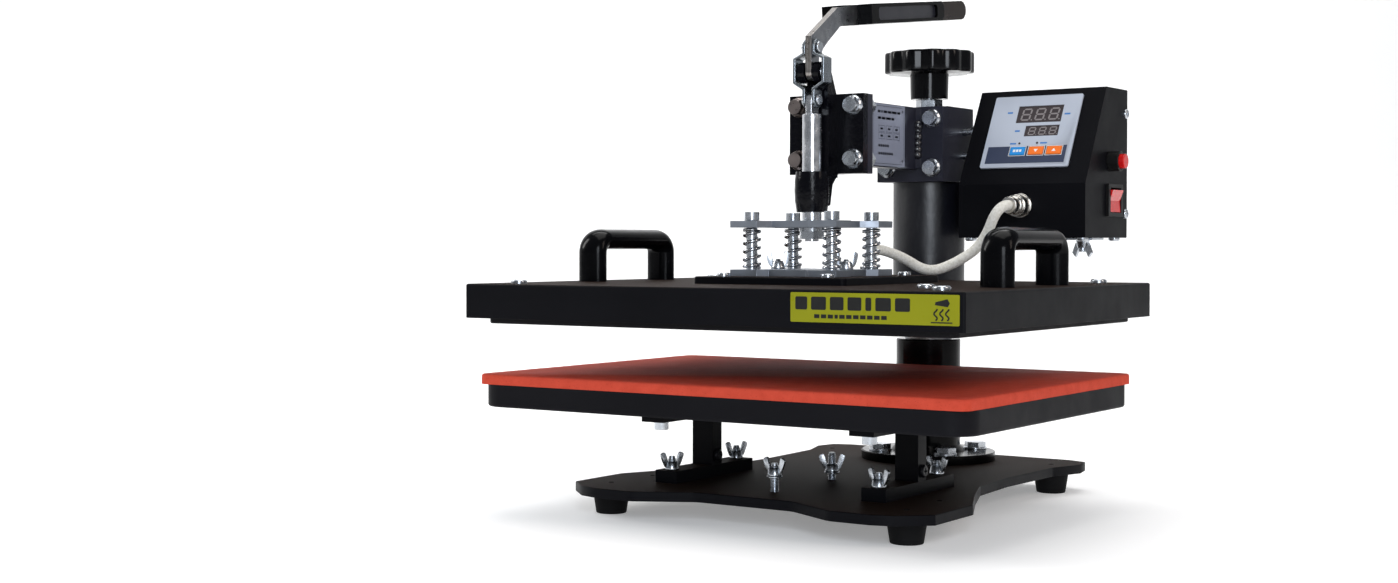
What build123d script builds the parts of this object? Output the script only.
"""Swing-away flat heat press: base, turning column, toggle head, sprung heat platen and control box.

Millimetres. X is to the right, Y to the back, Z up. The origin lies on the bench, under the centre
of the rubber pad. The press is drawn open: lever up and back, heat platen raised.
"""

from build123d import *
import math
import os

os.makedirs("parts", exist_ok=True)

# ---------------------------------------------------------------- driving dimensions
HEAD_Y = 9.0              # plunger axis, and centre of the heat platen
COL_Y = 203.0             # column axis

FOOT_H = 15.0             # rubber foot
PLATE_T = 7.0             # base plate
BASE_TOP = FOOT_H + PLATE_T
FEET = [(-118, -76), (118, -76), (-97, 221), (97, 221)]

BAR_X = 83.6              # centre of each platen support
BAR_W, BAR_H = 18.4, 9.0
BAR_FRONT, BAR_BACK = -56.0, 51.0
WING_YS = (-48.0, 42.0)   # studs through the lower bars
TOP_BAR_Z = 67.5          # underside of the upper bars

PAD_W, PAD_D, PAD_T = 380.0, 286.0, 7.3
PAD_TOP = 102.0
TRAY_T = 16.2             # lower platen, rim to top face
TRAY_R = 20.0

COVER_W, COVER_D = 385.6, 322.6
COVER_Z0, COVER_TOP = 142.6, 167.2
COVER_T = 1.5
BLOCK_Z = 138.6           # hot face of the heating block

ADAPTER_T = 5.3
SPIDER_T = 4.8
SPIDER_TOP_Z = 207.5      # underside of the upper spring plate
SPIDER_HALF = 43.0
SCREW_X, SCREW_Y = 32.5, 30.0
SPRING_OD, SPRING_ID = 13.6, 8.8

TRAVEL = 36.3             # stroke of the plunger, open to closed
CRANK = TRAVEL / 2        # lever pivot to link pivot
PIVOT_Z = 320.0           # lever pivot on the casting
LINK_L = 38.15            # pin to pin
PIN_Z = PIVOT_Z + CRANK - LINK_L
GUIDE_Z0, GUIDE_Z1 = 218.7, 248.0
PLUNGER_R = 7.0
RUN = 0.05                # radial running clearance

COLLAR_R, COLLAR_TOP = 25.5, 119.3
POST_R = 18.5
SLEEVE_R, SLEEVE_Z0 = 28.35, 130.0
HEAD_Z0, HEAD_Z1 = 245.0, 304.5
HEAD_W = 57.0

BOX_X0, BOX_X1 = 41.0, 143.0
BOX_Y0, BOX_Y1 = 170.5, 258.0
BOX_Z0, BOX_Z1 = 200.5, 316.6
PANEL_Z, PANEL_Y = 241.7, 213.5   # lower edge height and upper edge depth of the sloping panel
BOX_T = 1.5

SWING_GAP = 0.3           # least gap between parts that move past each other


# ---------------------------------------------------------------- helpers
def save(shape, name):
    shape.label = name
    export_step(shape, f"parts/{name}.step")


def box(x0, x1, y0, y1, z0, z1):
    return Pos((x0 + x1) / 2, (y0 + y1) / 2, (z0 + z1) / 2) * Box(x1 - x0, y1 - y0, z1 - z0)


def cyl(r, z0, z1, x=0.0, y=0.0):
    return Pos(x, y, (z0 + z1) / 2) * Cylinder(r, z1 - z0)


def cyl_x(r, x0, x1, y, z):
    return Pos((x0 + x1) / 2, y, z) * Rot(0, 90, 0) * Cylinder(r, x1 - x0)


def cyl_y(r, y0, y1, x, z):
    return Pos(x, (y0 + y1) / 2, z) * Rot(90, 0, 0) * Cylinder(r, y1 - y0)


def cone(r0, r1, z0, z1, x=0.0, y=0.0):
    return Pos(x, y, (z0 + z1) / 2) * Cone(r0, r1, z1 - z0)


def hexagon(af, z0, z1, x=0.0, y=0.0, turn=0.0):
    face = RegularPolygon(af / 2, 6, major_radius=False, rotation=turn)
    return Pos(x, y, z0) * extrude(face, z1 - z0)


def face_of(points):
    return make_face(Polyline(*points, close=True))


def slab(points, z0, z1):
    """Plan outline (x, y) raised from z0 to z1."""
    return Pos(0, 0, z0) * extrude(face_of(points), z1 - z0)


def side_plate(points, x0, x1):
    """Side outline (y, z) raised along X from x0 to x1."""
    flat = extrude(face_of(points), x1 - x0)
    return Pos(x0, 0, 0) * (Plane.YZ * flat)


def fuse(parts):
    whole = parts[0]
    for part in parts[1:]:
        whole = whole + part
    return whole


def cut(whole, tools):
    for tool in tools:
        whole = whole - tool
    return whole


def group(parts):
    """Several loose solids of one node."""
    return Compound(children=list(parts))


def wing_nut(x, y, z, span=20.0, down=False, turn=0.0, bore=3.0):
    """Wing nut standing on z, or hanging from it."""
    body = cone(5.2, 4.0, 0, 6.0)
    wings = []
    tip = span / 2
    for side in (-1, 1):
        corners = [(3.0, 1.5), (6.5, 2.4), (tip, 9.6), (tip - 3.2, 13.0), (3.0, 5.6)]
        leaf = face_of([(side * a, b) for a, b in corners])
        wings.append(Pos(0, 1.1, 0) * (Plane.XZ * extrude(leaf, 2.2)))
    nut = fuse([body] + wings) - cyl(bore, -1, 7)
    if down:
        nut = Rot(180, 0, 0) * nut
    return Pos(x, y, z) * Rot(0, 0, turn) * nut


def pan_head(r, h):
    """Domed pan head with a cross recess, base at z = 0."""
    head = cyl(r, 0, h)
    head = fillet(head.edges().group_by(Axis.Z)[-1], h * 0.55)
    arm = box(-r * 0.5, r * 0.5, -0.5, 0.5, h * 0.5, h + 1)
    return head - arm - Rot(0, 0, 90) * arm


def flange_bolt(head_r=7.6):
    """Flanged hex bolt head, seat at z = 0, shank not included."""
    head = cyl(head_r, 0, 1.6) + cone(head_r - 0.6, 6.0, 1.6, 3.0) + hexagon(11.0, 1.6, 7.4)
    return head & cone(head_r + 0.01, 4.6, 0, 9.8)


# ---------------------------------------------------------------- base (fixed)
HALF = [(0, -86), (38, -86), (78, -110), (108, -110), (124, -105), (143, -86), (143, -28), (124, 18),
        (108, 62), (104, 120), (107, 200), (117, 232), (113, 252), (98, 258), (0, 258)]
SOFT = {(78, -110): 14, (38, -86): 16, (143, -28): 8, (124, 18): 14,
        (108, 62): 14, (107, 200): 14, (98, 258): 10}
outline = HALF + [(-x, y) for x, y in reversed(HALF) if x]
plan = face_of(outline)
for (cx, cy), radius in SOFT.items():
    for side in (-1, 1):
        plan = fillet(plan.vertices().sort_by_distance(Vector(side * cx, cy, 0))[0], radius)
base_plate = Pos(0, 0, FOOT_H) * extrude(plan, PLATE_T)
base_plate = chamfer(base_plate.edges().group_by(Axis.Z)[-1], 0.5)
STUDS = [(3, -49), (3, 35)]
DIAGONAL = 40.0 * math.sqrt(0.5)
FLANGE_BOLTS = [(sx * DIAGONAL, COL_Y + sy * DIAGONAL) for sx in (-1, 1) for sy in (-1, 1)]
drill = [cyl(3.0, 0, 40, x, y) for x, y in STUDS] + [cyl(2.2, 0, 40, x, y) for x, y in FEET]
drill += [cyl(4.0, 0, 40, x, y) for x, y in FLANGE_BOLTS]
drill += [cyl(3.0, 0, 40, sx * BAR_X, y) for sx in (-1, 1) for y in WING_YS]
drill += [cyl(2.2, 0, 40, sx * 116.5, -24) for sx in (-1, 1)]
base_plate = cut(base_plate, drill)
save(base_plate, "base_plate")

feet, foot_screws = [], []
for x, y in FEET:
    foot = cone(11.0, 13.4, 0, FOOT_H, x, y)
    feet.append(cut(foot, [cyl(5.2, -1, 6, x, y), cyl(2.2, 5, 20, x, y)]))
    foot_screws.append(cyl(5.2, 3.0, 6, x, y) + cyl(2.2, 6, BASE_TOP - 0.8, x, y))
save(group(feet), "rubber_feet")
save(group(foot_screws), "foot_screws")

FLANGE_T = 7.0
FLANGE_TOP = BASE_TOP + FLANGE_T
flange = cyl(53.3, BASE_TOP, FLANGE_TOP, 0, COL_Y)
flange = fillet(flange.edges().group_by(Axis.Z)[-1], 1.0)
collar = cyl(COLLAR_R, FLANGE_TOP, COLLAR_TOP, 0, COL_Y)
collar = fillet(collar.edges().group_by(Axis.Z)[-1], 1.2)
collar += cone(COLLAR_R + 5, COLLAR_R, FLANGE_TOP, FLANGE_TOP + 5, 0, COL_Y)
column_base = cut(flange + collar, [cyl(4.0, 0, 60, x, y) for x, y in FLANGE_BOLTS])
save(column_base - cyl(POST_R + RUN, FLANGE_TOP + 16, COLLAR_TOP + 1, 0, COL_Y), "column_base")

bolts = []
for x, y in FLANGE_BOLTS:
    head = hexagon(15.0, FLANGE_TOP + 1.6, FLANGE_TOP + 5.8, x, y, 12)
    bolts.append(head + cyl(9.0, FLANGE_TOP, FLANGE_TOP + 1.6, x, y) + cyl(4.0, FOOT_H, FLANGE_TOP, x, y))
save(group(bolts), "flange_bolts")

BAR_TOP = BASE_TOP + BAR_H
POST_W, POST_D = 17.6, 13.0
supports = []
for side in (-1, 1):
    cx = side * BAR_X
    frame = box(cx - BAR_W / 2, cx + BAR_W / 2, BAR_FRONT, BAR_BACK, BASE_TOP, BAR_TOP)
    frame += box(cx - POST_W / 2, cx + POST_W / 2, -POST_D / 2, POST_D / 2, BAR_TOP, TOP_BAR_Z)
    frame += box(cx - BAR_W / 2, cx + BAR_W / 2, -74, 74, TOP_BAR_Z, PAD_TOP - PAD_T - TRAY_T)
    holes = [cyl(3.0, 0, 60, cx, y) for y in WING_YS] + [cyl(3.0, 60, 90, cx, y) for y in (-62, 62)]
    holes.append(cyl_x(3.0, cx + POST_W / 2 - 6, cx + POST_W / 2 + 1, 0, 38))
    supports.append(cut(frame, holes))
save(group(supports), "platen_supports")

studs, nuts = [], []
for sx in (-1, 1):
    for y in WING_YS:
        studs.append(cyl(3.0, FOOT_H, BAR_TOP + 10.0, sx * BAR_X, y))
        nuts.append(wing_nut(sx * BAR_X, y, BAR_TOP, turn=-20 if sx > 0 else 62))
for (x, y), lift, turn in zip(STUDS, (11.0, 5.7), (-12, 25)):
    seat = BASE_TOP + lift
    studs.append(cyl(3.0, FOOT_H, BASE_TOP + 20.0, x, y))
    washer = cyl(5.6, seat - 1.2, seat, x, y) - cyl(3.0, seat - 2, seat + 1, x, y)
    nuts.append(wing_nut(x, y, seat, turn=turn) + washer)
save(group(studs), "base_studs")
save(group(nuts), "base_wing_nuts")

support_screws = []
for sx in (-1, 1):
    face_x = sx * BAR_X + POST_W / 2
    head = Pos(face_x, 0, 38) * Rot(0, 90, 0) * pan_head(4.6, 2.6)
    support_screws.append(head + cyl_x(3.0, face_x - 6, face_x, 0, 38))

# ---------------------------------------------------------------- lower platen and pad
TRAY_TOP = PAD_TOP - PAD_T
TRAY_Z0 = TRAY_TOP - TRAY_T
TRAY_W, TRAY_D = PAD_W - 0.4, PAD_D - 0.4
tray = Pos(0, 0, TRAY_Z0) * extrude(RectangleRounded(TRAY_W, TRAY_D, TRAY_R), TRAY_T)
tray = fillet(tray.edges().group_by(Axis.Z)[0], 2.0)
tray = cut(tray, [cyl(3.0, TRAY_Z0 - 1, TRAY_TOP - 4, sx * BAR_X, y) for sx in (-1, 1) for y in (-62, 62)])
save(tray, "lower_platen")

for sx in (-1, 1):
    for y in (-62, 62):
        x = sx * BAR_X
        head = cyl(5.2, TOP_BAR_Z - 6.0, TOP_BAR_Z, x, y) - hexagon(5.0, TOP_BAR_Z - 7, TOP_BAR_Z - 3, x, y)
        support_screws.append(head + cyl(3.0, TOP_BAR_Z, TRAY_TOP - 5, x, y))
save(group(support_screws), "support_screws")

pad = Pos(0, 0, TRAY_TOP) * extrude(RectangleRounded(PAD_W, PAD_D, 9.0), PAD_T)
save(pad, "silicone_pad")

# ---------------------------------------------------------------- column post (turns in the collar)
POST_TOP = 290.0
post = cyl(POST_R, FLANGE_TOP + 16.3, POST_TOP, 0, COL_Y)
SCREW_R = 5.0
post = post - cyl(SCREW_R + RUN, 248, POST_TOP + 1, 0, COL_Y)
save(post, "column_post")

# ---------------------------------------------------------------- head: sleeve, block, arm
sleeve = cyl(SLEEVE_R, SLEEVE_Z0, HEAD_Z0, 0, COL_Y) - cyl(POST_R + RUN, SLEEVE_Z0 - 1, HEAD_Z0 + 1, 0, COL_Y)
sleeve = fillet(sleeve.edges().group_by(Axis.Z)[0].sort_by(SortBy.LENGTH)[-1], 1.5)
save(sleeve, "column_sleeve")

H2 = HEAD_W / 2
FRONT_Y = 168.0
END_Y = 177.0             # joint between the arm and the head block
block = box(-H2, H2, END_Y, COL_Y + H2, HEAD_Z0, HEAD_Z1)
rear_edges = block.edges().filter_by(Axis.Z).group_by(Axis.Y)[-1]
block = fillet(rear_edges, 9.0)
block = block - cyl(POST_R + RUN, HEAD_Z0 - 1, 300.0, 0, COL_Y)
block = block - cyl(SCREW_R + RUN, 299, HEAD_Z1 + 1, 0, COL_Y)
BOX_STUDS = [(206.0, 285.0), (206.0, 266.0)]
HEAD_BOLTS = [(sx * 19.4, z) for sx in (-1, 1) for z in (255.8, 294.7)]
block = cut(block, [cyl_x(3.0, H2 - 7, H2 + 1, y, z) for y, z in BOX_STUDS])
save(cut(block, [cyl_y(4.0, END_Y - 1, 186, x, z) for x, z in HEAD_BOLTS]), "head_block")

MOUNT_Y0, MOUNT_Y1 = 37.0, 45.0
MOUNT_X = 30.4
CAST_Z0, CAST_Z1 = 247.0, 305.2
TOGGLE_BOLTS = [(sx * 22.6, z) for sx in (-1, 1) for z in (257.7, 296.8)]
BEAM_X, BEAM_Z0, BEAM_Z1 = 6.5, 254.6, 303.5
WELD = 3.2                # leg of the weld fillets
arm = box(-MOUNT_X, MOUNT_X, MOUNT_Y0, MOUNT_Y1, CAST_Z0, CAST_Z1)
arm += box(-BEAM_X, BEAM_X, MOUNT_Y1, FRONT_Y, BEAM_Z0, BEAM_Z1)
arm += box(-H2, H2, FRONT_Y, END_Y, HEAD_Z0, HEAD_Z1 - 0.5)
for side in (-1, 1):
    for y, way in ((MOUNT_Y1, 1), (FRONT_Y, -1)):
        toe = side * BEAM_X
        arm += slab([(toe, y), (toe + side * WELD, y), (toe, y + way * WELD)], BEAM_Z0 + 1, BEAM_Z1 - 1)
arm = cut(arm, [cyl_y(4.0, 20, 60, x, z) for x, z in TOGGLE_BOLTS])
save(cut(arm, [cyl_y(4.0, 160, 190, x, z) for x, z in HEAD_BOLTS]), "head_arm")

arm_bolts = []
for x, z in HEAD_BOLTS:
    head = Pos(x, FRONT_Y, z) * Rot(90, 0, 0) * flange_bolt()
    arm_bolts.append(head + cyl_y(4.0, FRONT_Y, 186.0, x, z))

save(box(BEAM_X, BEAM_X + 0.6, 90.0, 144.5, 255.6, 303.0), "name_plate")

# toggle casting: guide tube, web, flange and two ears
FLANGE_Y = 30.0
profile = face_of([(PLUNGER_R + RUN, GUIDE_Z0), (11.0, GUIDE_Z0), (12.2, 226.0), (12.6, 234.0), (12.4, 242.0),
                   (11.6, GUIDE_Z1), (PLUNGER_R + RUN, GUIDE_Z1)])
tube = Pos(0, HEAD_Y, 0) * revolve(Plane.XZ * profile, Axis.Z)
WEB_X = 9.2
WEB_Y = HEAD_Y + PLUNGER_R + 0.6   # front of the web, just behind the plunger
web = side_plate([(WEB_Y, CAST_Z0), (WEB_Y, 312.3), (HEAD_Y, 312.5), (HEAD_Y, 327.5), (19.0, 327.5),
                  (FLANGE_Y + 1, CAST_Z1 - 2), (FLANGE_Y + 1, CAST_Z0)], -8.6, 8.6)
ears = web + cyl_x(7.5, -8.6, 8.6, HEAD_Y, PIVOT_Z)
slot = box(-3.2, 3.2, -2, 22.5, 304.0, 340)
ears = ears - slot
gusset = side_plate([(HEAD_Y + 4, 222.0), (HEAD_Y + 11, 224.0), (HEAD_Y + 14.5, CAST_Z0 - 8),
                     (FLANGE_Y + 2, CAST_Z0), (FLANGE_Y + 2, CAST_Z0 + 8), (WEB_Y, GUIDE_Z1)], -WEB_X, WEB_X)
body = side_plate([(WEB_Y, GUIDE_Z1 - 4), (WEB_Y, 300.0), (FLANGE_Y + 1, 300.0),
                   (FLANGE_Y + 1, GUIDE_Z1 - 4)], -WEB_X, WEB_X)
casting = fuse([tube, gusset, body, ears, box(-MOUNT_X, MOUNT_X, FLANGE_Y, MOUNT_Y0, CAST_Z0, CAST_Z1)])
casting = casting - cyl(PLUNGER_R + RUN, GUIDE_Z0 - 2, GUIDE_Z1, 0, HEAD_Y)
casting = casting - box(-8, 8, HEAD_Y - 8, WEB_Y, GUIDE_Z1, 312.0) - cyl_x(3.0, -20, 20, HEAD_Y, PIVOT_Z)
save(cut(casting, [cyl_y(4.0, 20, 60, x, z) for x, z in TOGGLE_BOLTS]), "toggle_casting")

for x, z in TOGGLE_BOLTS:
    head = Pos(x, FLANGE_Y, z) * Rot(90, 0, 0) * flange_bolt()
    nut = Pos(x, MOUNT_Y1, z) * Rot(-90, 0, 0) * hexagon(13.0, 0, 6.5)
    arm_bolts.append(head + cyl_y(4.0, FLANGE_Y, MOUNT_Y1 + 8.0, x, z) + nut)
save(group(arm_bolts), "arm_bolts")

pivot = cyl_x(3.0, -8.6, 8.6, HEAD_Y, PIVOT_Z)
pivot += cyl_x(4.6, 8.6, 9.8, HEAD_Y, PIVOT_Z) + cyl_x(4.6, -9.8, -8.6, HEAD_Y, PIVOT_Z)
save(pivot, "pivot_pin")

# ---------------------------------------------------------------- pressure knob
NUT_Z1 = 312.0
height_nut = hexagon(18.5, HEAD_Z1, NUT_Z1, 0, COL_Y, 18) - cyl(SCREW_R + RUN, 300, 320, 0, COL_Y)
save(height_nut, "height_nut")
KNOB_Z0, KNOB_Z1 = 333.0, 350.4
knob = cyl(33.4, KNOB_Z0, KNOB_Z1)
for k in range(12):
    knob += Rot(0, 0, 30 * k) * cyl(5.2, KNOB_Z0, KNOB_Z1, 30.6, 0)
for k in range(12):
    knob -= Rot(0, 0, 30 * k + 15) * cyl(3.6, KNOB_Z0 - 1, KNOB_Z1 + 1, 36.0, 0)
knob += cone(15.0, 15.6, NUT_Z1 + SWING_GAP, KNOB_Z0)
knob -= cyl(24.0, KNOB_Z1 - 3.0, KNOB_Z1 + 1)
knob += cyl(13.0, KNOB_Z1 - 3.2, KNOB_Z1 - 0.6)
knob = Pos(0, COL_Y, 0) * knob - cyl(SCREW_R, 300, 340, 0, COL_Y)
save(knob, "pressure_knob")
save(cyl(SCREW_R, 260.0, 340.0, 0, COL_Y), "pressure_screw")

# ---------------------------------------------------------------- lever, links, plunger
GRIP_Y0, GRIP_Z0 = 62.0, 366.4
SLOPE = math.radians(6.8)


def along(s, up):
    """Point of the grip's side view: s along it, up across it."""
    y = GRIP_Y0 + s * math.cos(SLOPE) - up * math.sin(SLOPE)
    z = GRIP_Z0 + s * math.sin(SLOPE) + up * math.cos(SLOPE)
    return (y, z)


LINK_PIN_Z = PIVOT_Z + CRANK
lever_side = [(HEAD_Y - 5.8, PIVOT_Z), (HEAD_Y - 5.8, 346.0), (43.0, 370.4), along(4, 7.0), along(150, 7.0),
              along(150, -7.0), along(-6, -7.0), (47.6, 357.2), (28.0, 343.6), (HEAD_Y + 5.8, 333.5),
              (HEAD_Y + 5.8, PIVOT_Z)]
lever_holes = [cyl_x(3.0 + RUN, -9, 9, HEAD_Y, PIVOT_Z), cyl_x(2.5, -9, 9, HEAD_Y, LINK_PIN_Z)]
leaves = []
for x0, x1 in ((-2.5, 0.0), (0.0, 2.5)):
    leaf = side_plate(lever_side, x0, x1) + cyl_x(5.8, x0, x1, HEAD_Y, PIVOT_Z)
    leaves.append(cut(leaf, lever_holes))
save(group(leaves), "lever_leaves")

far_half = side_plate([along(-12, 7.6), along(186, 7.6), along(190, 6.6), along(193.5, 3.4), along(194.6, 0),
                       along(193.5, -3.4), along(190, -6.6), along(186, -7.6), along(-12, -7.6)], -14.5, 8.0)
near_half = side_plate([along(12, 7.6), along(134, 7.6), along(138, 5.0), along(139, 0), along(138, -5.0),
                        along(134, -7.6), along(12, -7.6)], 2.5, 14.5)
notch = side_plate([along(-14, 9), along(12, 9), along(12, -9), along(-14, -9)], 2.5, 9.0)
recess = side_plate([along(26, 5.0), along(124, 5.0), along(126, 3.0), along(126, -3.0), along(124, -5.0),
                     along(26, -5.0), along(24, -3.0), along(24, 3.0)], 12.3, 16.0)
grip = fuse([far_half - notch, near_half]) - recess
save(cut(grip, leaves), "lever_grip")

STRIP_W, STRIP_T = 12.0, 2.2
IN0, IN1 = 2.8, 10.6
zs = [LINK_PIN_Z + 6, LINK_PIN_Z - 5.2, LINK_PIN_Z - 8.8, PIN_Z + 13.15, PIN_Z + 8.15, PIN_Z - 6]


def link(side):
    inner = [(IN0, zs[0]), (IN0, zs[1]), (IN1, zs[2]), (IN1, zs[3]), (IN0, zs[4]), (IN0, zs[5])]
    outer = [(IN0 + STRIP_T, zs[5]), (IN0 + STRIP_T, zs[4] - 1.0), (IN1 + STRIP_T, zs[3] - 1.0),
             (IN1 + STRIP_T, zs[2] + 1.0), (IN0 + STRIP_T, zs[1] + 1.0), (IN0 + STRIP_T, zs[0])]
    strip = extrude(face_of([(side * x, z) for x, z in inner + outer]), STRIP_W)
    strip = Pos(0, HEAD_Y + STRIP_W / 2, 0) * (Plane.XZ * strip)
    ends = box(-20, 20, HEAD_Y - 6, HEAD_Y + 6, PIN_Z, LINK_PIN_Z) + cyl_x(6.0, -20, 20, HEAD_Y, PIN_Z)
    ends = ends + cyl_x(6.0, -20, 20, HEAD_Y, LINK_PIN_Z)
    strip = strip & ends
    return cut(strip, [cyl_x(2.5 + RUN, -20, 20, HEAD_Y, LINK_PIN_Z), cyl_x(2.5, -20, 20, HEAD_Y, PIN_Z)])


save(group([link(-1), link(1)]), "links")
top_rivet = cyl_x(2.5, -5.3, 5.3, HEAD_Y, LINK_PIN_Z)
top_rivet += cyl_x(4.2, 5.3, 7.0, HEAD_Y, LINK_PIN_Z) + cyl_x(4.2, -7.0, -5.3, HEAD_Y, LINK_PIN_Z)
save(top_rivet, "link_rivet_top")
low = cyl_x(2.5, 2.8, 5.0, HEAD_Y, PIN_Z) + cyl_x(4.2, 5.0, 6.7, HEAD_Y, PIN_Z)
save(group([low, Pos(0, 2 * HEAD_Y, 0) * Rot(0, 0, 180) * low]), "link_rivets_low")

tang_z = PIN_Z - 10.2
rod = cyl(PLUNGER_R, SPIDER_TOP_Z + SPIDER_T, tang_z, 0, HEAD_Y)
tang = box(-2.5, 2.5, HEAD_Y - 5.4, HEAD_Y + 5.4, tang_z, PIN_Z) + cyl_x(5.4, -2.5, 2.5, HEAD_Y, PIN_Z)
rod = fuse([rod, tang, cyl(5.0, 197.6, SPIDER_TOP_Z + SPIDER_T, 0, HEAD_Y)])
save(rod, "plunger")
nut = cyl(9.2, 205.0, SPIDER_TOP_Z, 0, HEAD_Y) + hexagon(16.5, 199.3, 205.0, 0, HEAD_Y, 6)
save(nut - cyl(5.0, 190, 210, 0, HEAD_Y), "plunger_nut")


def spider(z0, z1, screw_r, notch):
    """Square spring plate with a notch in each side and a hole at each corner."""
    a, b, c = SPIDER_HALF, 21.0, notch
    points = [(c, b - 6), (a, b), (a, a), (b, a), (b - 6, c), (-b + 6, c), (-b, a), (-a, a), (-a, b),
              (-c, b - 6), (-c, -b + 6), (-a, -b), (-a, -a), (-b, -a), (-b + 6, -c), (b - 6, -c), (b, -a),
              (a, -a), (a, -b), (c, -b + 6)]
    corners = [(sx * SCREW_X, sy * SCREW_Y) for sx in (-1, 1) for sy in (-1, 1)]
    plate = cut(slab(points, z0, z1), [cyl(screw_r, z0 - 1, z1 + 1, x, y) for x, y in corners])
    return Pos(0, HEAD_Y, 0) * plate


top_plate = spider(SPIDER_TOP_Z, SPIDER_TOP_Z + SPIDER_T, 4.35, 31.0)
save(top_plate - cyl(5.0, SPIDER_TOP_Z - 1, SPIDER_TOP_Z + 9, 0, HEAD_Y), "spring_plate_top")

# ---------------------------------------------------------------- floating heat platen
ADAPTER_TOP = COVER_TOP + ADAPTER_T
LOWER_TOP = ADAPTER_TOP + SPIDER_T
PLATE_WINGS = [(-28.0, 0.0), (28.0, 0.0)]
lower = spider(ADAPTER_TOP, LOWER_TOP, 4.0, 36.0)
lower = cut(lower, [cyl(2.5, ADAPTER_TOP - 1, LOWER_TOP + 1, x, HEAD_Y + y) for x, y in PLATE_WINGS])
save(lower, "spring_plate_lower")

shoulder = []
for sx in (-1, 1):
    for sy in (-1, 1):
        x, y = sx * SCREW_X, HEAD_Y + sy * SCREW_Y
        z = SPIDER_TOP_Z + SPIDER_T + SWING_GAP
        head = cyl(5.4, z, z + 6.2, x, y) - hexagon(5.0, z + 3.2, z + 7, x, y)
        shoulder.append(head + cyl(4.0, ADAPTER_TOP, z, x, y))
save(group(shoulder), "shoulder_screws")
springs = []
for sx in (-1, 1):
    for sy in (-1, 1):
        x, y = sx * SCREW_X, HEAD_Y + sy * SCREW_Y
        springs.append(cyl(SPRING_OD / 2, LOWER_TOP, SPIDER_TOP_Z, x, y) - cyl(SPRING_ID / 2, 170, 215, x, y))
save(group(springs), "springs")

wings = []
for (x, y), turn in zip(PLATE_WINGS, (34, 38)):
    stud = cyl(2.5, COVER_TOP, LOWER_TOP + 7.5, x, HEAD_Y + y)
    wings.append(stud + wing_nut(x, HEAD_Y + y, LOWER_TOP, span=18, turn=turn, bore=2.4))
save(group(wings), "plate_wing_nuts")

ADAPT_X, ADAPT_Y0, ADAPT_Y1 = 61.0, -56.0, 94.0
ADAPT_SCREWS = [(sx * 42.0, y) for sx in (-1, 1) for y in (-44.0, 74.0)]
COVER_SCREWS = [(-165, -125), (165, -125), (165, 140), (-165, 140), (133, -80)]
SHANK_Z = 144.6           # foot of the screws that hang the heating block
GLAND = (19.0, 62.0)
adapter = box(-ADAPT_X, ADAPT_X, ADAPT_Y0, ADAPT_Y1, COVER_TOP, ADAPTER_TOP)
adapter = fillet(adapter.edges().filter_by(Axis.Z), 4.0)
adapter = chamfer(adapter.edges().group_by(Axis.Z)[-1], 0.8)
adapter = cut(adapter, [cyl(2.5, COVER_TOP - 1, ADAPTER_TOP + 1, x, y) for x, y in ADAPT_SCREWS]
              + [cyl(2.5, COVER_TOP - 1, ADAPTER_TOP + 1, x, HEAD_Y + y) for x, y in PLATE_WINGS])
save(adapter, "adapter_plate")

pan_screws = []
for seats, z, head_r in ((ADAPT_SCREWS, ADAPTER_TOP, 4.8), (COVER_SCREWS, COVER_TOP, 5.8)):
    for x, y in seats:
        pan_screws.append(Pos(x, y, z) * pan_head(head_r, 2.8) + cyl(2.5, SHANK_Z, z, x, y))
save(group(pan_screws), "pan_screws")
shanks = [cyl(2.5, SHANK_Z, COVER_TOP + 1, x, y) for x, y in ADAPT_SCREWS + COVER_SCREWS]

CY = HEAD_Y
cover = box(-COVER_W / 2, COVER_W / 2, CY - COVER_D / 2, CY + COVER_D / 2, COVER_Z0, COVER_TOP)
cover = fillet(cover.edges().filter_by(Axis.Z) + cover.edges().group_by(Axis.Z)[-1], 1.6)
cover = cover - box(-COVER_W / 2 + COVER_T, COVER_W / 2 - COVER_T, CY - COVER_D / 2 + COVER_T,
                    CY + COVER_D / 2 - COVER_T, COVER_Z0 - 1, COVER_TOP - COVER_T)
save(cut(cover, shanks), "platen_cover")

INSET = 11.0
BLOCK_T = 12.0
heater = extrude(RectangleRounded(COVER_W - 2 * INSET, COVER_D - 2 * INSET, 6.0), BLOCK_T)
heater = Pos(0, CY, BLOCK_Z) * chamfer(heater.edges().group_by(Axis.Z)[0], 0.8)
save(cut(heater, shanks), "heating_block")
wool = box(-COVER_W / 2 + 4, COVER_W / 2 - 4, CY - COVER_D / 2 + 4, CY + COVER_D / 2 - 4, BLOCK_Z + BLOCK_T,
           COVER_TOP - COVER_T)
save(cut(wool, shanks), "insulation")

label_y = CY - COVER_D / 2
save(box(74.3, 189.4, label_y - 0.4, label_y, 146.6, 165.3), "warning_label")

HANDLE_X, HANDLE_H = 163.0, 39.8
HANDLE_GAP = 93.0
HANDLE_W, HANDLE_T = 23.2, 15.6
for side, name in ((-1, "left"), (1, "right")):
    y0, y1 = CY + 1.0 - HANDLE_GAP / 2, CY + 1.0 + HANDLE_GAP / 2
    top = COVER_TOP + HANDLE_H
    mid = top - HANDLE_T / 2
    corners = [(0, y0, COVER_TOP), (0, y0, mid), (0, y1, mid), (0, y1, COVER_TOP)]
    route = FilletPolyline(*corners, radius=10.5)
    section = Pos(0, y0, COVER_TOP) * Ellipse(HANDLE_W / 2, HANDLE_T / 2)
    handle = sweep(section, path=route)
    save(Pos(side * HANDLE_X, 0, 0) * handle, f"handle_{name}")

gland = cyl(8.5, ADAPTER_TOP, ADAPTER_TOP + 2.4, *GLAND)
gland += hexagon(13.0, ADAPTER_TOP + 2.4, ADAPTER_TOP + 6.4, *GLAND)
save(gland, "cable_gland")

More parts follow.
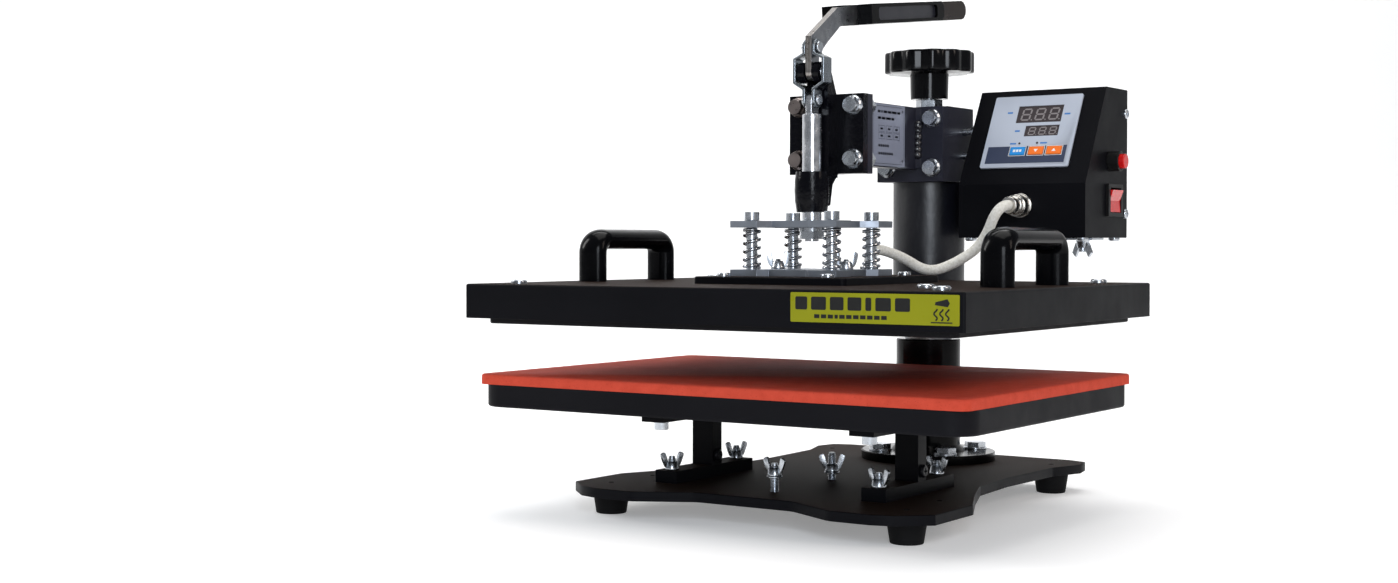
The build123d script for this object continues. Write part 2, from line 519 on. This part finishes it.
# ---------------------------------------------------------------- heater cable
CABLE_R = 4.0
PLUG_X, PLUG_Z, PLUG_Y = 92.0, 225.0, 147.0
GLAND_TOP = ADAPTER_TOP + 6.4
stops = [(PLUG_X, PLUG_Y - SWING_GAP, PLUG_Z), (91.3, 129.5, PLUG_Z), (79.0, 131.0, 195.5),
         (62.0, 119.5, 181.0), (46.0, 105.0, 169.6), (31.0, 89.0, 184.0),
         (GLAND[0], GLAND[1], 194.0), (GLAND[0], GLAND[1], GLAND_TOP)]
BENDS = [8.4, 25.0, 80.0, 18.5, 40.0, 9.5]
cable_route = FilletPolyline(*stops, radius=BENDS)
ring = Plane(origin=stops[0], z_dir=(0, -1, 0)) * Circle(CABLE_R)
below_gland = box(GLAND[0] - 8, GLAND[0] + 8, GLAND[1] - 8, GLAND[1] + 8, GLAND_TOP - 3, GLAND_TOP)
cable = sweep(ring, path=cable_route) - below_gland
save(cable, "heater_cable")
print("cable length", round(cable_route.length, 1), "bend radii", BENDS)

# ---------------------------------------------------------------- control box
def box_profile(t):
    """Side outline of the box moved in by t; the back stays open."""
    slope = math.atan2(PANEL_Y - BOX_Y0, BOX_Z1 - PANEL_Z)
    a = t * math.tan(slope / 2)
    b = t * math.tan((math.pi / 2 - slope) / 2)
    rear = BOX_Y1 if t == 0 else BOX_Y1 + 5
    return [(BOX_Y0 + t, BOX_Z0 + t), (BOX_Y0 + t, PANEL_Z - a), (PANEL_Y + b, BOX_Z1 - t),
            (rear, BOX_Z1 - t), (rear, BOX_Z0 + t)]


shell = side_plate(box_profile(0), BOX_X0, BOX_X1)
shell = shell - side_plate(box_profile(BOX_T), BOX_X0 + BOX_T, BOX_X1 - BOX_T)
PANEL_ANGLE = math.degrees(math.atan2(PANEL_Y - BOX_Y0, BOX_Z1 - PANEL_Z))
panel = Pos(0, BOX_Y0, PANEL_Z) * Rot(90 - PANEL_ANGLE, 0, 0)


def on_panel(shape):
    """Shape drawn on the sloping panel: x across, y up the slope, z outwards."""
    return panel * shape


FX0, FX1, FV0, FV1 = 55.4, 126.6, 14.4, 80.0
KEYS = [(83.5, 28.9), (98.5, 28.9), (113.0, 28.9)]
KEY_W, KEY_H = 11.8, 7.2
FASCIA_T = 1.4
shell = shell - on_panel(box(FX0 + 5, FX1 - 5, FV0 + 5, FV1 - 5, -4, 2))
BUTTON_Y, BUTTON_Z = 221.0, 259.3
SWITCH_Y, SWITCH_Z = 228.5, 229.5
SWITCH_W, SWITCH_H = 31.0, 25.0
SIDE_SCREWS = [(253.0, 297.6), (253.0, 219.4)]
BOTTOM_SCREWS = [(48.0, 178.0), (138.0, 178.0), (136.0, 250.0), (48.0, 250.0)]
BRACKET_BOLT = (131.0, 197.0)
INLET = (92.0, 240.0)
switch_hole = box(BOX_X1 - 4, BOX_X1 + 2, SWITCH_Y - 12.5, SWITCH_Y + 12.5, SWITCH_Z - 10, SWITCH_Z + 10)
shell = cut(shell, [switch_hole, cyl_x(6.5, BOX_X1 - 4, BOX_X1 + 2, BUTTON_Y, BUTTON_Z),
                    cyl_y(7.5, BOX_Y0 - 1, BOX_Y0 + 3, PLUG_X, PLUG_Z)])
shell = cut(shell, [cyl_x(2.0, BOX_X1 - 4, BOX_X1 + 2, y, z) for y, z in SIDE_SCREWS]
            + [cyl_x(2.0, BOX_X0 - 2, BOX_X0 + 4, y, z) for y, z in SIDE_SCREWS]
            + [cyl_x(3.0, BOX_X0 - 2, BOX_X0 + 4, y, z) for y, z in BOX_STUDS]
            + [cyl(2.0, BOX_Z0 - 2, BOX_Z0 + 4, x, y) for x, y in BOTTOM_SCREWS]
            + [cyl(3.0, BOX_Z0 - 2, BOX_Z0 + 4, *BRACKET_BOLT)])
save(shell, "control_box")
back = box(BOX_X0, BOX_X1, BOX_Y1, BOX_Y1 + 1.5, BOX_Z0, BOX_Z1)
back += box(BOX_X0 + BOX_T, BOX_X1 - BOX_T, BOX_Y1 - 12, BOX_Y1, BOX_Z0 + BOX_T, BOX_Z0 + BOX_T + 1.2)
back = back - cyl_y(8.0, BOX_Y1 - 5, BOX_Y1 + 5, *INLET)
save(back, "control_box_back")

fixings = []
for y, z in SIDE_SCREWS:
    right = Pos(BOX_X1, y, z) * Rot(0, 90, 0) * pan_head(3.8, 2.6)
    fixings.append(right + cyl_x(2.0, BOX_X1 - BOX_T, BOX_X1, y, z))
    left = Pos(BOX_X0, y, z) * Rot(0, -90, 0) * pan_head(3.8, 2.6)
    fixings.append(left + cyl_x(2.0, BOX_X0, BOX_X0 + BOX_T, y, z))
for x, y in BOTTOM_SCREWS:
    below = Pos(x, y, BOX_Z0) * Rot(180, 0, 0) * pan_head(4.4, 2.6)
    fixings.append(below + cyl(2.0, BOX_Z0, BOX_Z0 + BOX_T, x, y))
for y, z in BOX_STUDS:
    stud = cyl_x(3.0, H2 - 7, BOX_X0 + BOX_T + 3, y, z) + cyl_x(5.0, BOX_X0 - 4, BOX_X0, y, z)
    fixings.append(stud + cyl_x(4.6, BOX_X0 + BOX_T, BOX_X0 + BOX_T + 3, y, z))

strip_z0 = BOX_Z0 - 1.8
bracket = box(119.0, 143.0, 185.0, 209.0, strip_z0, BOX_Z0) - cyl(3.0, 190, 215, *BRACKET_BOLT)
save(bracket, "box_bracket")
hanger = cyl(3.0, strip_z0 - 9, BOX_Z0 + BOX_T + 3, *BRACKET_BOLT)
hanger += cyl(4.8, BOX_Z0 + BOX_T, BOX_Z0 + BOX_T + 3, *BRACKET_BOLT)
fixings.append(hanger + wing_nut(*BRACKET_BOLT, strip_z0, down=True, turn=-25, bore=2.9))
save(group(fixings), "box_fixings")

# fascia with two windows and a key strip
fascia = box(FX0, FX1, FV0, FV1, 0, FASCIA_T)
fascia = fillet(fascia.edges().filter_by(Axis.Z), 1.5)
WINDOWS = [(76.4, 113.0, 55.0, 70.6), (85.6, 113.0, 42.4, 52.2)]
STRIP = (58.8, 122.6, 18.0, 33.4)
LEDS = [(83.7, 36.0), (98.0, 36.0)]
key_holes = []
for x, v in KEYS:
    w, h = KEY_W / 2 + SWING_GAP, KEY_H / 2 + SWING_GAP
    key_holes.append(box(x - w, x + w, v - h, v + h, -1, 3))
windows = [box(*window, -1, 3) for window in WINDOWS]
led_holes = [cyl(0.9, -1, 3, x, v) for x, v in LEDS]
save(on_panel(cut(fascia, windows + key_holes + led_holes + [box(*STRIP, 1.0, 3)])), "fascia")
save(on_panel(cut(box(*STRIP, 1.0, 1.5), key_holes)), "key_strip")
modules = [box(*window, -6.0, 1.0) for window in WINDOWS]
leds = [cyl(0.9, -6.0, 1.7, x, v) for x, v in LEDS]
save(on_panel(group(modules + leds)), "displays")
for (x, v), name in zip(KEYS, ("set", "down", "up")):
    key = box(x - KEY_W / 2, x + KEY_W / 2, v - KEY_H / 2, v + KEY_H / 2, -4.9, 2.1)
    save(on_panel(key), f"key_{name}")

# plug and socket on the lower front face
plug = cyl_y(7.5, BOX_Y0, BOX_Y0 + 8, PLUG_X, PLUG_Z)
rings = [(9.4, 0.0, 2.4), (8.3, 2.4, 11.5), (7.2, 11.5, 16.0), (6.4, 16.0, BOX_Y0 - PLUG_Y)]
for r, near, far in rings:
    plug += cyl_y(r, BOX_Y0 - far, BOX_Y0 - near, PLUG_X, PLUG_Z)
save(plug, "cable_plug")

# push button and rocker switch on the right side
bezel = cyl_x(7.8, BOX_X1, BOX_X1 + 9.0, BUTTON_Y, BUTTON_Z)
bezel += cyl_x(6.5, BOX_X1 - 8, BOX_X1, BUTTON_Y, BUTTON_Z)
bezel = bezel - cyl_x(5.9, BOX_X1 - 7, BOX_X1 + 10, BUTTON_Y, BUTTON_Z)
save(bezel, "button_bezel")
button = cyl_x(5.6, BOX_X1 - 2.0, BOX_X1 + 13.0, BUTTON_Y, BUTTON_Z)
button = fillet(button.edges().group_by(Axis.X)[-1], 0.8)
save(button, "timer_button")
SW2, SH2 = SWITCH_W / 2, SWITCH_H / 2
ROCK_Y, ROCK_Z = 11.0, 8.6       # half width and half height of the rocker
frame = box(BOX_X1, BOX_X1 + 2.4, SWITCH_Y - SW2, SWITCH_Y + SW2, SWITCH_Z - SH2, SWITCH_Z + SH2)
frame += box(BOX_X1 - 12, BOX_X1, SWITCH_Y - 12.5, SWITCH_Y + 12.5, SWITCH_Z - 10, SWITCH_Z + 10)
frame -= box(BOX_X1 - 10, BOX_X1 + 3, SWITCH_Y - ROCK_Y - 0.4, SWITCH_Y + ROCK_Y + 0.4,
             SWITCH_Z - ROCK_Z - 1.0, SWITCH_Z + ROCK_Z + 1.0)
TRUNNION_R, TRUNNION = 1.2, ROCK_Y + 1.2
frame -= cyl_y(TRUNNION_R + RUN, SWITCH_Y - TRUNNION - 0.3, SWITCH_Y + TRUNNION + 0.3, BOX_X1 - 1.5, SWITCH_Z)
save(frame, "switch_frame")
# rocker outline (out, up) about its pivot, drawn with the lower end pressed in
ROCK_TILT = 8.0
rocker = face_of([(-4.5, -8.0), (4.7, -ROCK_Z), (3.0, 0.0), (4.7, ROCK_Z), (-4.5, 8.0)])
rocker = Pos(0, ROCK_Y, 0) * (Plane.XZ * extrude(rocker, 2 * ROCK_Y))
rocker += cyl_y(TRUNNION_R, -TRUNNION, TRUNNION, 0, 0)
save(Pos(BOX_X1 - 1.5, SWITCH_Y, SWITCH_Z) * Rot(0, ROCK_TILT, 0) * rocker, "power_rocker")

inlet = cyl_y(8.0, BOX_Y1 - 6, BOX_Y1 + 1.5, *INLET) + cyl_y(10.5, BOX_Y1 + 1.5, BOX_Y1 + 5.5, *INLET)
inlet += cyl_y(7.0, BOX_Y1 + 5.5, BOX_Y1 + 14, *INLET)
inlet = inlet - cyl_y(3.6, BOX_Y1 - 7, BOX_Y1 + 15, *INLET)
save(inlet, "mains_gland")
